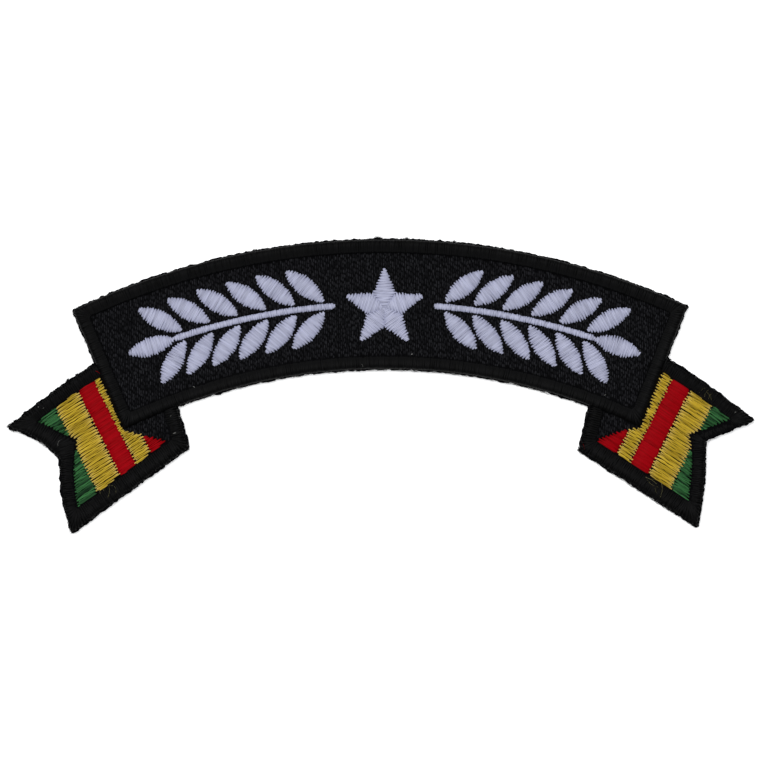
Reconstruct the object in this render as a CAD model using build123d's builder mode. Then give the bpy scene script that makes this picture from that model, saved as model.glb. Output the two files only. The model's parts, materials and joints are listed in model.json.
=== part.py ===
from build123d import *

import os
from collections import namedtuple
from math import asin, atan, atan2, cos, degrees, radians, sin, tan

# Arched embroidered rocker patch with two swallow-tailed ribbon ends.
# It lies face up: X runs along its length, Y towards the top of the arch, Z out of its face.
# The origin is at the middle of its outline, on the flat back.
# Sizes are in millimetres and angles in degrees.

# Cloth and its edges
twill_thickness = 1.0
corner_round = 0.3
cut_margin = 0.15
stitch_gap = 0.05

# Arched banner, its span measured between its upper corners
arch_radius = 98.3
arch_shift = 0.5
banner_span = 84.0
banner_depth = 17.9
banner_border_width = 1.8
banner_border_height = 0.85
banner_border_round = 0.45

# Ribbon tails, measured out and down from the banner's lower corners
tail_length = 15.6
tail_drop = 14.0
tail_border_width = 1.95
tail_border_height = 0.7
hem_extra = 0.4

# Stripes across the tails
stripe_tilt = 26.5
stripe_height = 0.45

# Star and laurel sprays on the banner
motif_margin = 1.6
spray_margin = 1.6
motif_height = 0.65
motif_round = 0.25
motif_tip_round = 0.3
star_points = 5
star_waist = 0.43
stem_width = 0.8
stem_clearance = 1.2
stem_spare = 1.0
leaf_pairs = 6
leaf_tilt = 44.0
leaf_gap = 0.25

# One row for each tail. Upper end, lower end and fold end are shares of half the banner's span:
# the banner's upper and lower corner, and where the fold leaves its lower edge. Start is a
# share of the banner's end, from the top. The other out and drop columns are shares of the
# tail's length and drop. Vee is the point of the border inside the notch, which parts the green
# stripe: its reach past the stripe's line, and the barb's border, are shares of the border's
# width. Bows are shares of the edge that bows. Stripe lines are shares of the tail's length,
# where the lines pass the banner's lower corner.
Tail = namedtuple(
    "Tail",
    "name out upper_end lower_end fold_end start tip_out tip_drop notch_out notch_drop "
    "vee_drop vee_reach point_out point_drop heel_out heel_drop barb_border upper_bow barb_bow "
    "point_bow fold_bow stripe_lines",
)
left_tail = Tail(
    name="left", out=-1, upper_end=1.015, lower_end=0.848, fold_end=0.67, start=0.44,
    tip_out=1.024, tip_drop=-0.024, notch_out=0.558, notch_drop=0.279, vee_drop=0.094,
    vee_reach=0.33, point_out=0.452, point_drop=1.011, heel_out=-0.583, heel_drop=0.167,
    barb_border=0.82, upper_bow=0.02, barb_bow=-0.085, point_bow=0.05, fold_bow=0.01,
    stripe_lines=(-0.146, 0.031, 0.219, 0.492),
)
right_tail = Tail(
    name="right", out=1, upper_end=0.986, lower_end=0.83, fold_end=0.661, start=0.427,
    tip_out=1.008, tip_drop=-0.07, notch_out=0.577, notch_drop=0.129, vee_drop=0.067,
    vee_reach=0.5, point_out=0.5, point_drop=0.976, heel_out=-0.542, heel_drop=0.222,
    barb_border=0.62, upper_bow=0.018, barb_bow=-0.01, point_bow=0.035, fold_bow=0.06,
    stripe_lines=(-0.091, 0.062, 0.267, 0.532),
)
tails = (left_tail, right_tail)
stripe_names = ("red_inner", "yellow_inner", "red_outer", "yellow_outer", "green")

lower_radius = arch_radius - banner_depth
motif_radius = arch_radius - banner_depth / 2
stitch_floor = Plane.XY.offset(twill_thickness + stitch_gap)
tail_inset = cut_margin + tail_border_width


def arch_angle(radius, end):
    """Angle from the arch's axis at which a radius reaches a share of half the banner's span."""
    return degrees(asin(end * banner_span / 2 / radius))


corner_height = lower_radius * cos(radians(arch_angle(lower_radius, left_tail.lower_end)))
overall_height = arch_radius - corner_height + tail_drop
arch_centre = Vector(arch_shift, overall_height / 2 - arch_radius)


def on_arch(radius, angle):
    """Point at a radius from the arch's centre and an angle clockwise from its axis."""
    turn = radians(angle)
    return arch_centre + Vector(radius * sin(turn), radius * cos(turn))


def save(part, name):
    """Labels a finished piece and writes its file."""
    part.label = name
    export_step(part, f"parts/{name}.step")


def round_top(piece, radius):
    """Rounds the edges of the upper face of the piece being built."""
    fillet(piece.faces().sort_by(Axis.Z)[-1].edges(), radius=radius)


def bowed(start, end, bow, share=0.5):
    """Point at a share along an edge that bows to its left by another share of its length."""
    run = end - start
    rise = 4 * bow * share * (1 - share)
    return start + run * share + Vector(-run.Y, run.X) * rise


def banner_end(tail):
    """Upper and lower corner of the banner at one tail."""
    upper_angle = arch_angle(arch_radius, tail.upper_end)
    lower_angle = arch_angle(lower_radius, tail.lower_end)
    upper = on_arch(arch_radius, tail.out * upper_angle)
    lower = on_arch(lower_radius, tail.out * lower_angle)
    return upper, lower


def tail_points(tail):
    """Corners of one tail, by name."""
    upper, corner = banner_end(tail)

    def placed(out, down):
        return Vector(corner.X + tail.out * out * tail_length, corner.Y - down * tail_drop)

    start = upper + (corner - upper) * tail.start
    tip = placed(tail.tip_out, tail.tip_drop)
    heel = placed(tail.heel_out, tail.heel_drop)
    fold = on_arch(lower_radius, tail.out * arch_angle(lower_radius, tail.fold_end))
    green_line = placed(tail.stripe_lines[-1], tail.vee_drop)
    past_line = tail.vee_drop * tail_drop * tan(radians(stripe_tilt))
    past_line += tail.vee_reach * tail_border_width
    return {
        "tucked_start": bowed(start, tip, tail.out * tail.upper_bow, -0.4),
        "start": start,
        "tip": tip,
        "notch": placed(tail.notch_out, tail.notch_drop),
        "vee": green_line - Vector(tail.out * past_line, 0),
        "point": placed(tail.point_out, tail.point_drop),
        "heel": heel,
        "tucked_fold": fold + (fold - heel),
        "corner": corner,
        "lines": [placed(share, 0).X for share in tail.stripe_lines],
        "outside": placed(2, 0).X,
        "inside": placed(-2, 0).X,
    }


def banner_area(inset):
    """Area of the banner, drawn in from its outline by an inset."""
    reach = 2 * arch_radius
    with BuildSketch() as area:
        with Locations(arch_centre):
            Circle(arch_radius - inset)
            Circle(lower_radius + inset, mode=Mode.SUBTRACT)
            Rectangle(reach, reach, align=(Align.CENTER, Align.MIN), mode=Mode.INTERSECT)
        for tail in tails:
            upper, lower = banner_end(tail)
            end = lower - upper
            outward = Vector(-end.Y, end.X).normalized() * tail.out
            beyond = (upper + lower) / 2 + outward * (reach / 2 - inset)
            with Locations(beyond):
                end_angle = degrees(atan2(end.Y, end.X))
                Rectangle(reach, reach, rotation=end_angle, mode=Mode.SUBTRACT)
        fillet(area.vertices(), radius=corner_round)
    return area.sketch


def tail_outline(at, tail):
    """Outline of one tail, with its tucked end under the banner."""
    with BuildSketch() as outline:
        with BuildLine():
            upper_middle = bowed(at["start"], at["tip"], tail.out * tail.upper_bow)
            ThreePointArc(at["tucked_start"], upper_middle, at["tip"])
            barb_middle = bowed(at["tip"], at["notch"], tail.out * tail.barb_bow)
            ThreePointArc(at["tip"], barb_middle, at["notch"])
            point_middle = bowed(at["notch"], at["point"], tail.out * tail.point_bow)
            ThreePointArc(at["notch"], point_middle, at["point"])
            Line(at["point"], at["heel"])
            Line(at["heel"], at["tucked_fold"])
            Line(at["tucked_fold"], at["tucked_start"])
        make_face()
        for name in ("tip", "point", "heel"):
            fillet(outline.vertices().sort_by_distance(at[name])[0], radius=corner_round)
    return outline.sketch


corners = {tail.name: tail_points(tail) for tail in tails}
tail_faces = {tail.name: tail_outline(corners[tail.name], tail) for tail in tails}


def inner_line(tail, start, end, bow, width, share):
    """Point and heading of an edge's inner line, at the edge's start (0) or end (1)."""
    run = (end - start).normalized()
    inward = Vector(-run.Y, run.X) * -tail.out
    turn = 2 * atan(2 * bow) * (2 * share - 1)
    heading = run * cos(turn) + inward * sin(turn)
    spot = start + (end - start) * share
    return spot + (inward * cos(turn) - run * sin(turn)) * width, heading


def crossing(line, other):
    """Point where two lines cross, each given by a point and a heading."""
    spot, heading = line
    other_spot, other_heading = other
    gap = other_spot - spot
    run = gap.X * other_heading.Y - gap.Y * other_heading.X
    return spot + heading * (run / (heading.X * other_heading.Y - heading.Y * other_heading.X))


def tail_inside(at, tail):
    """Area inside one tail's border, with the bare fold."""
    upper = (tail, at["start"], at["tip"], tail.upper_bow, tail_inset)
    barb_inset = cut_margin + tail.barb_border * tail_border_width
    barb = (tail, at["tip"], at["notch"], tail.barb_bow, barb_inset)
    lower = (tail, at["notch"], at["point"], tail.point_bow, tail_inset)
    hem = (tail, at["point"], at["heel"], 0, tail_inset + hem_extra)
    fold = (tail, at["heel"], at["tucked_fold"], 0, tail_inset)
    start, heading = inner_line(*upper, 0)
    tip = crossing(inner_line(*upper, 1), inner_line(*barb, 0))
    point = crossing(inner_line(*lower, 1), inner_line(*hem, 0))
    heel = crossing(inner_line(*hem, 1), inner_line(*fold, 0))
    tucked_fold, fold_heading = inner_line(*fold, 1)
    with BuildSketch() as inside:
        with BuildLine():
            Line(start - heading * tail_inset, start)
            ThreePointArc(start, bowed(start, tip, tail.out * tail.upper_bow), tip)
            Line(tip, at["vee"])
            lower_middle = bowed(at["vee"], point, tail.out * tail.point_bow)
            ThreePointArc(at["vee"], lower_middle, point)
            Polyline(point, heel, tucked_fold, start - heading * tail_inset)
        make_face()
    return inside.sketch


os.makedirs("parts", exist_ok=True)

# The one sheet of twill that carries everything.
with BuildPart() as twill_ground:
    with BuildSketch():
        add(banner_area(0))
        for tail_face in tail_faces.values():
            add(tail_face)
    extrude(amount=twill_thickness)
save(twill_ground.part, "twill_ground")

# Satin border round the arched banner, crossing over both tails.
with BuildPart() as banner_border:
    with BuildSketch(stitch_floor):
        add(banner_area(cut_margin))
        add(banner_area(cut_margin + banner_border_width), mode=Mode.SUBTRACT)
    extrude(amount=banner_border_height)
    round_top(banner_border, banner_border_round)
save(banner_border.part, "banner_border")

# Satin borders of the tails, open where they run up to the banner.
banner_seat = banner_area(cut_margin - stitch_gap)
for tail in tails:
    with BuildPart() as tail_border:
        with BuildSketch(stitch_floor):
            offset(tail_faces[tail.name], amount=-cut_margin)
            add(tail_inside(corners[tail.name], tail), mode=Mode.SUBTRACT)
            add(banner_seat, mode=Mode.SUBTRACT)
        extrude(amount=tail_border_height)
    save(tail_border.part, f"{tail.name}_tail_border")

# Satin stripes across the tails, with bare twill left at the folds under the banner.
for tail in tails:
    at = corners[tail.name]
    with BuildSketch() as field:
        add(tail_inside(at, tail))
        add(banner_seat, mode=Mode.SUBTRACT)
        with BuildLine():
            above = Vector(0, banner_depth)
            fold_middle = bowed(at["heel"], at["corner"], tail.out * tail.fold_bow)
            ThreePointArc(at["corner"], fold_middle, at["heel"])
            Polyline(at["heel"], at["heel"] + above, at["corner"] + above, at["corner"])
        make_face(mode=Mode.SUBTRACT)
    edges = [at["inside"], *at["lines"], at["outside"]]
    for name, inner, outer in zip(stripe_names, edges, edges[1:]):
        with BuildSketch() as stripe_area:
            add(field.sketch)
            with Locations(((inner + outer) / 2, at["corner"].Y)):
                stripe_width = abs(outer - inner) * cos(radians(stripe_tilt)) - stitch_gap
                stripe_turn = -tail.out * stripe_tilt
                Rectangle(stripe_width, 2 * overall_height, rotation=stripe_turn, mode=Mode.INTERSECT)
        faces = stripe_area.faces().sort_by(Axis.Y)
        ends = ("_lower", "_upper") if name == "green" else ("",)
        for end, face in zip(ends, faces):
            with BuildPart() as stripe:
                with BuildSketch(stitch_floor):
                    add(face)
                extrude(amount=stripe_height)
            save(stripe.part, f"{tail.name}_stripe_{name}{end}")

# Satin star in the middle of the banner, standing evenly between the borders.
panel_half = banner_depth / 2 - cut_margin - banner_border_width
motif_reach = panel_half - motif_margin
star_radius = 2 * motif_reach / (1 + cos(radians(180 / star_points)))
star_drop = star_radius - motif_reach
star_middle = on_arch(motif_radius - star_drop, 0)
with BuildPart() as centre_star:
    with BuildSketch(stitch_floor) as star_outline:
        with BuildLine():
            spokes = []
            for step in range(2 * star_points):
                turn = radians(step * 180 / star_points)
                spoke = star_radius * (1 if step % 2 == 0 else star_waist)
                spokes.append(star_middle + Vector(spoke * sin(turn), spoke * cos(turn)))
            Polyline(*spokes, close=True)
        make_face()
        fillet(star_outline.vertices(), radius=motif_tip_round)
    extrude(amount=motif_height)
    round_top(centre_star, motif_round)
save(centre_star.part, "centre_star")

# Laurel spray on each side of the star: one stem, paired leaves and a leaf at its end.
stem_start = star_radius + stem_clearance
leaf_rise = motif_reach - stem_width / 2 - leaf_gap
leaf_length = leaf_rise / sin(radians(leaf_tilt))
shorter_end = min(tail.upper_end + tail.lower_end for tail in tails) / 2
panel_turn = radians(arch_angle(motif_radius, shorter_end))
panel_end = motif_radius * panel_turn - cut_margin - banner_border_width
stem_end = panel_end - spray_margin - leaf_gap - leaf_length
leaf_run = stem_end - stem_start - 2 * stem_spare
leaf_step = leaf_run / (leaf_pairs - 1)
leaf_width = leaf_step * sin(radians(leaf_tilt)) - leaf_gap


def leaf(base, heading, name):
    """Satin leaf from its base along a heading, counted clockwise from the arch's axis."""
    turn = radians(heading)
    along = Vector(sin(turn), cos(turn)) * leaf_length
    across = Vector(cos(turn), -sin(turn)) * (leaf_width / 2)
    with BuildPart() as blade:
        with BuildSketch(stitch_floor) as blade_outline:
            with BuildLine():
                ThreePointArc(base, base + along / 2 + across, base + along)
                ThreePointArc(base + along, base + along / 2 - across, base)
            make_face()
            fillet(blade_outline.vertices(), radius=motif_tip_round)
        extrude(amount=motif_height)
        round_top(blade, motif_round)
    save(blade.part, name)


for tail in tails:
    with BuildPart() as stem:
        with BuildSketch(stitch_floor):
            start_turn = degrees(stem_start / motif_radius)
            end_turn = degrees(stem_end / motif_radius)
            with BuildLine():
                stem_line = ThreePointArc(
                    on_arch(motif_radius, tail.out * start_turn),
                    on_arch(motif_radius, tail.out * (start_turn + end_turn) / 2),
                    on_arch(motif_radius, tail.out * end_turn),
                )
            SlotArc(stem_line, height=stem_width)
        extrude(amount=motif_height)
    save(stem.part, f"{tail.name}_stem")
    number = 0
    for pair in range(leaf_pairs):
        along_stem = stem_start + stem_spare + pair * leaf_step
        angle = degrees(along_stem / motif_radius)
        for side in (1, -1):
            number += 1
            base = on_arch(motif_radius + side * (stem_width / 2 + leaf_gap), tail.out * angle)
            heading = tail.out * (angle + 90 - side * leaf_tilt)
            leaf(base, heading, f"{tail.name}_leaf_{number:02d}")
    angle = degrees((stem_end + leaf_gap) / motif_radius)
    base = on_arch(motif_radius, tail.out * angle)
    leaf(base, tail.out * (angle + 90), f"{tail.name}_leaf_{number + 1:02d}")
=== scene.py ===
import json
import math

import bpy
import numpy as np
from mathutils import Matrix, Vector, geometry

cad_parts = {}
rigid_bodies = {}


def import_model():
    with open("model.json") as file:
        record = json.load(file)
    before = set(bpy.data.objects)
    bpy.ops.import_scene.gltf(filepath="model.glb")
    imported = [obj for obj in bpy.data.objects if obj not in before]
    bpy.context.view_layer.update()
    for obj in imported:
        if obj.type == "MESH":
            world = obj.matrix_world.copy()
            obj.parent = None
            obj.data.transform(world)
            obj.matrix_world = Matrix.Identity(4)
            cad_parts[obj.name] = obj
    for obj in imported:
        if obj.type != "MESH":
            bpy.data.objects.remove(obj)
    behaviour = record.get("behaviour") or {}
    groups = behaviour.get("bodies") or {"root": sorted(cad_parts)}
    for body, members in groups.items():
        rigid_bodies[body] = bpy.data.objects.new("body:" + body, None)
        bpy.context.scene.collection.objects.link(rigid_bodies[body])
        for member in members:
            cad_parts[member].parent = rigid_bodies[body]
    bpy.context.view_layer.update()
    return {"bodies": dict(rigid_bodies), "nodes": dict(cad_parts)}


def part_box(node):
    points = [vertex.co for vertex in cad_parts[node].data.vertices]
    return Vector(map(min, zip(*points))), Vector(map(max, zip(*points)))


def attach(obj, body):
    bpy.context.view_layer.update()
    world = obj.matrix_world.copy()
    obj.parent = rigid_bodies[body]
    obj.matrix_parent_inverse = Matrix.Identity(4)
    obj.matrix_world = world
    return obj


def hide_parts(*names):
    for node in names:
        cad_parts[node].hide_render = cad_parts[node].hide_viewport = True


# An embroidered rocker patch, lying face up on a white table.
# Everything is in metres. X runs along the patch, Y to the top of its arch, Z out of its face.

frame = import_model()
nodes = frame["nodes"]
mm = 0.001
tolerance = 0.001 * mm
place_digits = 7

# The photograph: its scale, and the pixel where the patch's origin lies
photo_pixels = 768
pixel = 0.1363 * mm
origin_column = 380.8
origin_row = 386

# The cloth, and how it lies: in low waves, with the ends of its tails raised a little
cloth_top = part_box("twill_ground")[1].z
cloth_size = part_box("twill_ground")[1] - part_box("twill_ground")[0]
cloth_grid = 1.3 * mm
fill_gap = 1e-5
warp_height = 0.22 * mm
wave_length_x = 9 * mm
wave_length_y = 8 * mm
wave_drift = 31 * mm
tail_lift = 0.3 * mm
tail_lift_start = 36 * mm
tail_lift_run = 15 * mm

# Its cut edge, with a profile from the back to the face: share of the thickness, and inset
edge_step = 0.16 * mm
edge_grown = 0.02 * mm
edge_wobble = 0.053 * mm
edge_grain = 0.032 * mm
deepest_nick = 0.08 * mm
edge_profile = ((0, 0.12 * mm), (0.15, 0.02 * mm), (0.5, 0), (0.8, 0.01 * mm), (0.95, 0.07 * mm),
                (1, 0.2 * mm))

# Its weave, and the least and most that one float measures against the next
weave_look = {
    "Column pitch": 0.25 * mm,
    "Float period": 0.62 * mm,
    "Float length": 0.55 * mm,
    "Float width": 0.2 * mm,
    "Float rise": 0.07 * mm,
    "Slope": math.radians(33),
    "Jitter": 0.045 * mm,
    "Seed": 3,
}
float_lengths = (0.85, 1.1)
float_widths = (0.75, 1.15)
float_heights = (0.7, 1.4)
float_stray = 4
edge_clearance = 0.45 * mm
ray_height = 5 * mm
ray_length = 5.5 * mm
top_ray_height = 10 * mm

# Satin stitches: their columns, and what all strands share
rail_step = 0.1 * mm
scan_step = 0.1 * mm
shortest_stitch = 0.3 * mm
seat_gap = 0.1 * mm
seat_retreat = 0.2 * mm
star_points = 5
star_overlap = 0.45 * mm
arm_slack = 0.001
stripe_angle = math.radians(33)
seed_step = 10
strand_taper = 0.35
# The next power sets how close to the strand ends the painted light or shade of the threads gathers
painted_end_power = 3
most_tuck_share = 0.2
short_stitch_rise = 0.42
stitch_heights = (0.88, 1.06)
wander_wave = 0.8 * mm
wander_spread = 90

usual_satin = {
    "Stitch pitch": 0.21 * mm,
    "Thread width": 0.24 * mm,
    "Thread height": 0.2 * mm,
    "Loft": 0.34 * mm,
    "Crown": 0.6,
    "Lean": 0,
    "Pinch": 0.2,
    "Zigzag": 0.3,
    "Reach": 0.16 * mm,
    "Tuck": 0.26 * mm,
    "Ragged": 0.08 * mm,
    "Sway": 0.045 * mm,
    "Wander": 0.22 * mm,
    "Bends": 11,
    "Sides": 6,
    "Underlay": 0.3,
}
border_satin = {
    **usual_satin,
    "Stitch pitch": 0.15 * mm,
    "Thread width": 0.3 * mm,
    "Loft": 0.74 * mm,
    "Crown": 0.9,
    "Lean": 0.16,
    "Pinch": 0.8,
    "Reach": 0,
    "Tuck": 0,
    "Ragged": 0.04 * mm,
    "Sway": 0.02 * mm,
    "Wander": 0.05 * mm,
    "Bends": 7,
    "Sides": 5,
    "Underlay": 0.5,
}
tail_border_satin = {
    **border_satin,
    "Reach": -0.04 * mm,
    "Tuck": 0.24 * mm,
    "Ragged": 0.12 * mm,
}
stripe_satin = {
    "yellow": {
        **usual_satin,
        "Crown": 0.45,
        "Thread width": 0.215 * mm,
        "Wander": 0.26 * mm,
    },
    "red": {
        **usual_satin,
        "Stitch pitch": 0.17 * mm,
        "Thread width": 0.3 * mm,
        "Pinch": 0.6,
        "Loft": 0.3 * mm,
        "Crown": 0.8,
        "Reach": 0.08 * mm,
        "Tuck": 0.05 * mm,
        "Ragged": 0.06 * mm,
        "Wander": 0.08 * mm,
    },
    "green": {
        **usual_satin,
        "Stitch pitch": 0.19 * mm,
        "Thread width": 0.21 * mm,
        "Reach": 0.26 * mm,
        "Tuck": 0.3 * mm,
        "Ragged": 0.12 * mm,
        "Wander": 0.26 * mm,
    },
}
ragged_red_satin = {
    **stripe_satin["red"],
    "Stitch pitch": 0.2 * mm,
    "Thread width": 0.26 * mm,
    "Pinch": 0.25,
    "Reach": 0.12 * mm,
    "Tuck": 0.24 * mm,
    "Ragged": 0.1 * mm,
}
motif_satin = {
    **usual_satin,
    "Stitch pitch": 0.18 * mm,
    "Thread width": 0.27 * mm,
    "Loft": 0.55 * mm,
    "Pinch": 0.3,
    "Reach": 0.08 * mm,
    "Tuck": 0.14 * mm,
    "Ragged": 0.09 * mm,
    "Sway": 0.03 * mm,
    "Wander": 0.08 * mm,
    "Underlay": 0.25,
}
stem_satin = {
    **motif_satin,
    "Stitch pitch": 0.16 * mm,
    "Pinch": 0.75,
    "Reach": 0.03 * mm,
    "Tuck": 0.06 * mm,
    "Ragged": 0.04 * mm,
    "Underlay": 0.15,
}

# Loose fibres
fibre_look = {
    "Bends": 5,
    "Sides": 4,
    "Taper": 0.5,
    "Crimp": 0.02 * mm,
}
fuzz_count = 900
fuzz_root = 0.08 * mm
fuzz_length = 0.22 * mm
fuzz_width = 0.035 * mm
fuzz_lean = 1.2
backing_count = 900
backing_length = 0.7 * mm
backing_root = 0.03 * mm
backing_side = (-0.4, -0.92)
backing_focus = 4
tuft_density = 4
tuft_width = 2.2 * fuzz_width
tuft_lean = 0.7

# Tufts of the edge: column, row, height and spread, all in pixels of the photograph
tufts = (
    (377.9, 238, 2, 6), (405.9, 238.3, 1.6, 5), (453.3, 241.3, 1.6, 4), (473.6, 243.5, 1, 4),
    (496.9, 246.8, 1, 4), (512.2, 249.4, 1, 4), (254.1, 249.8, 1.4, 4), (131.4, 283.7, 1, 4),
    (73.4, 313.9, 1, 4), (76.5, 373.9, 1, 4), (67.4, 380, 1.7, 4), (12.2, 429.4, 1.5, 5),
    (58.9, 464.6, 1.3, 4), (62.8, 505.3, 1, 4), (186.7, 449.5, 1, 4), (182.6, 404.8, 1, 3),
    (579.2, 449.5, 1, 4), (608.5, 470.3, 1.4, 4), (668.9, 509.5, 1, 4), (699.3, 518.6, 1, 4),
    (751.9, 419.8, 1, 4), (669.6, 358.7, 1, 3), (8.6, 427, 2.2, 3), (9.5, 424.5, 1.6, 3),
    (13, 420.3, 1.5, 3), (376.6, 238, 2.2, 3),
)

# Loose threads on the face: from column and row to column and row, bow, all in pixels, and width in mm
yellow_threads = (
    (108.5, 497, 109, 485, -1, 0.035), (109, 485, 116, 494, 4, 0.035),
    (97, 490, 100.5, 494, 1.5, 0.05), (101, 488, 104.5, 493.5, 1.5, 0.05),
    (645, 477, 657, 484.5, 1, 0.04), (649, 479, 661, 483, 1.5, 0.03),
    (647, 480, 658, 487, -1.5, 0.03), (661, 482, 660, 497, 1.5, 0.04),
    (655, 486, 659, 495, -2, 0.025), (708, 399, 712, 393, 1, 0.03),
    (711, 400, 706, 392, -1, 0.03), (704, 397, 708, 390, 1, 0.025), (699, 393, 705, 388, 1, 0.02),
)
red_threads = ((96, 371, 100, 374, 0.6, 0.06), (581, 442, 584, 449, 1, 0.025))
lint_threads = (
    (58.5, 446, 61.5, 439.5, 1.5, 0.03), (193.4, 386.6, 194.8, 387.5, 0.3, 0.09),
    (173.7, 433.6, 176.4, 432.7, 0.3, 0.12), (170.5, 416.3, 171.6, 415.8, 0.2, 0.07),
    (38.4, 407.2, 39.6, 406.8, 0.2, 0.06), (43.5, 408.4, 44.6, 408, 0.2, 0.06),
    (604.4, 395.3, 605.7, 394.8, 0.2, 0.08), (639.4, 350.3, 640.6, 350, 0.2, 0.06),
    (734.4, 412.5, 735.6, 411.9, 0.3, 0.08), (411.4, 354.4, 412.7, 354.1, 0.3, 0.1),
    (361, 364, 363, 368, 0.8, 0.02),
)

# Threads: shade, tint, colour painted at the strand ends (painted light on yellow, green and
# black, painted shade on the rest), roughness, gloss, and how much one strand differs from the
# next
thread_looks = {
    "white": ((0.2, 0.205, 0.28), (0.47, 0.485, 0.64), (0.45, 0.465, 0.64), 0.42, 0.32, 0.42),
    "yellow": ((0.17, 0.107, 0.002), (0.57, 0.394, 0.03), (0.82, 0.605, 0.2), 0.5, 0.08, 0.6),
    "straw": ((0.06, 0.055, 0.02), (0.32, 0.29, 0.13), (0.2, 0.18, 0.07), 0.6, 0.1, 0.3),
    "red": ((0.15, 0.0004, 0.001), (0.34, 0.001, 0.005), (0.22, 0.001, 0.003), 0.5, 0.025, 0.45),
    "green": ((0.002, 0.018, 0.005), (0.036, 0.145, 0.044), (0.05, 0.17, 0.06), 0.5, 0.08, 1.2),
    "black": ((0.0004, 0.0004, 0.0004), (0.0038, 0.0038, 0.004), (0.006, 0.006, 0.0062),
              0.5, 0.045, 0.6),
    "twill": ((0.002, 0.002, 0.0024), (0.021, 0.021, 0.024), (0.01, 0.01, 0.012), 0.7, 0.03, 0.75),
    "backing": ((0.01, 0.01, 0.009), (0.09, 0.09, 0.085), (0.06, 0.06, 0.06), 0.7, 0.05, 0.45),
    "lint": ((0.12, 0.12, 0.11), (0.4, 0.4, 0.38), (0.3, 0.3, 0.3), 0.7, 0.1, 0.45),
}
cloth_shade = (0.0006, 0.0006, 0.0007)
cloth_tint = (0.0025, 0.0025, 0.003)
relief_depth = 0.03 * mm
ply_pitch = 0.9 * mm
ply_count = 2
ply_relief = 0.3
filament_length = 0.5 * mm
filaments_around = 14
filament_spread = 40
filament_share = 0.5
cloud_scale = 900
grain_scale = 6000
rib_scale = 1100
rib_turn = math.radians(57)

# Stage
floor_size = 3
table_white = (0.97, 0.97, 0.97)
table_glow = 0.3
dome_light = 0.4
key_place = (-0.1, 0.17, 0.8)
key_size = 0.5
key_power = 6.3


# Node trees


def add(tree, kind, inputs=(), **settings):
    """Adds a node, then links or sets its inputs, given in their order or by their names."""
    made = tree.nodes.new(kind)
    for setting, value in settings.items():
        setattr(made, setting, value)
    ready = [socket for socket in made.inputs if socket.enabled]
    if isinstance(inputs, dict):
        ready = [next(s for s in ready if s.name == name) for name in inputs]
        inputs = inputs.values()
    for socket, value in zip(ready, inputs):
        if isinstance(value, bpy.types.NodeSocket):
            tree.links.new(value, socket)
        else:
            socket.default_value = value
    return made


def out(made, name=None):
    """A node's output of that name, or its first one."""
    return next(s for s in made.outputs if s.enabled and name in (None, s.name))


def new(tree, kind, inputs=(), **settings):
    """First output of a node that is added."""
    return out(add(tree, kind, inputs, **settings))


def calc(tree, operation, *terms):
    """Result of a sum on numbers."""
    return new(tree, "ShaderNodeMath", terms, operation=operation)


def vectors(tree, operation, *terms):
    """Result of a sum on vectors."""
    return new(tree, "ShaderNodeVectorMath", terms, operation=operation)


def scaled(tree, arrow, factor):
    """A vector times a number."""
    return new(tree, "ShaderNodeVectorMath", {"Vector": arrow, "Scale": factor}, operation="SCALE")


def between(tree, start, end, share):
    """Point at a share of the way from one point to another."""
    return vectors(tree, "ADD", start, scaled(tree, vectors(tree, "SUBTRACT", end, start), share))


def vector(tree, **parts):
    """A vector from its X, Y and Z."""
    return new(tree, "ShaderNodeCombineXYZ", parts)


def position(tree):
    """Place of each point."""
    return new(tree, "GeometryNodeInputPosition")


def coordinates(tree):
    """X, Y and Z of each point's place."""
    parts = add(tree, "ShaderNodeSeparateXYZ", [position(tree)])
    return [out(parts, axis) for axis in "XYZ"]


def shifted(tree, shape, **where):
    """Geometry with its points set to a Position, or moved by an Offset."""
    return new(tree, "GeometryNodeSetPosition", {"Geometry": shape, **where})


def chance(tree, low, high, seed, salt=0, kind="FLOAT"):
    """A random number or vector between two limits. Its salt sets one use of a seed apart."""
    inputs = {"Min": low, "Max": high, "Seed": calc(tree, "ADD", seed, salt)}
    return new(tree, "FunctionNodeRandomValue", inputs, data_type=kind)


def attribute(tree, name, kind="FLOAT"):
    """A named attribute of the geometry."""
    return new(tree, "GeometryNodeInputNamedAttribute", {"Name": name}, data_type=kind)


def store(tree, shape, name, value, kind="FLOAT", domain="POINT"):
    """Geometry with one more named attribute."""
    inputs = {"Geometry": shape, "Name": name, "Value": value}
    return new(tree, "GeometryNodeStoreNamedAttribute", inputs, data_type=kind, domain=domain)


def geometry_of(tree, thing):
    """Geometry of another object."""
    return out(add(tree, "GeometryNodeObjectInfo", {"Object": thing}), "Geometry")


def straight(tree, start, end, bends):
    """Straight line that can bend, and carries the share of it gone at each point."""
    line = new(tree, "GeometryNodeCurvePrimitiveLine", {"Start": start, "End": end})
    inputs = {"Curve": line, "Count": calc(tree, "ADD", bends, 1)}
    line = new(tree, "GeometryNodeResampleCurve", inputs, mode="COUNT")
    return store(tree, line, "along", new(tree, "GeometryNodeSplineParameter"))


def tube(tree, path, sides, girth, size=(1, 1, 1)):
    """Smooth tube round a path, which carries the share of the way round at each point."""
    ring = new(tree, "GeometryNodeCurvePrimitiveCircle", {"Resolution": sides, "Radius": 0.5})
    ring = store(tree, ring, "around", new(tree, "GeometryNodeSplineParameter"))
    ring = new(tree, "GeometryNodeTransform", {"Geometry": ring, "Scale": size})
    inputs = {"Curve": path, "Profile Curve": ring, "Scale": girth, "Fill Caps": True}
    made = new(tree, "GeometryNodeCurveToMesh", inputs)
    return new(tree, "GeometryNodeSetShadeSmooth", {"Geometry": made})


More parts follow.
